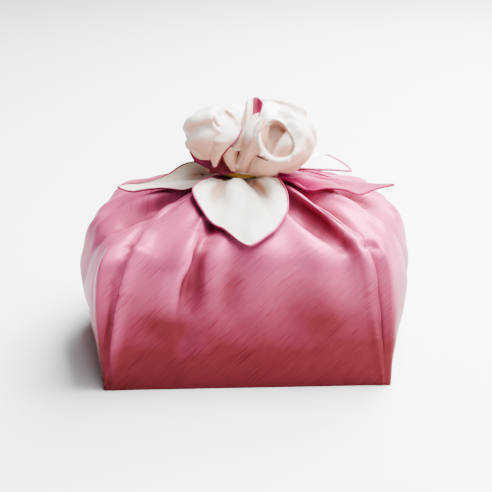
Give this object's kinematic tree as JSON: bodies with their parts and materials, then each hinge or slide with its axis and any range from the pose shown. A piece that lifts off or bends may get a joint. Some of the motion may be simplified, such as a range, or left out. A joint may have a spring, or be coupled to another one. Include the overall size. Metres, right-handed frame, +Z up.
{
  "type": "furoshiki wrap",
  "caption": "Square two-layer cloth wrapped round a box shape, gathered over it by an elastic band into lining puffs with its corners out as leaves.",
  "frame": {"origin": "middle of the flat base that the wrap rests on", "axes": "+X along the wrap's long side, to the right seen from the front; -Y the front, where the broad leaf hangs; +Z up through the gathered neck"},
  "size_m": [0.3484, 0.2616, 0.2651],
  "materials": {
    "outer_cloth": "satin",
    "lining_cloth": "satin",
    "elastic_band": "matte"
  },
  "bodies": {
    "root": {"outer_cloth": "outer_cloth", "lining_cloth": "lining_cloth", "elastic_band": "elastic_band"}
  },
  "joints": []
}
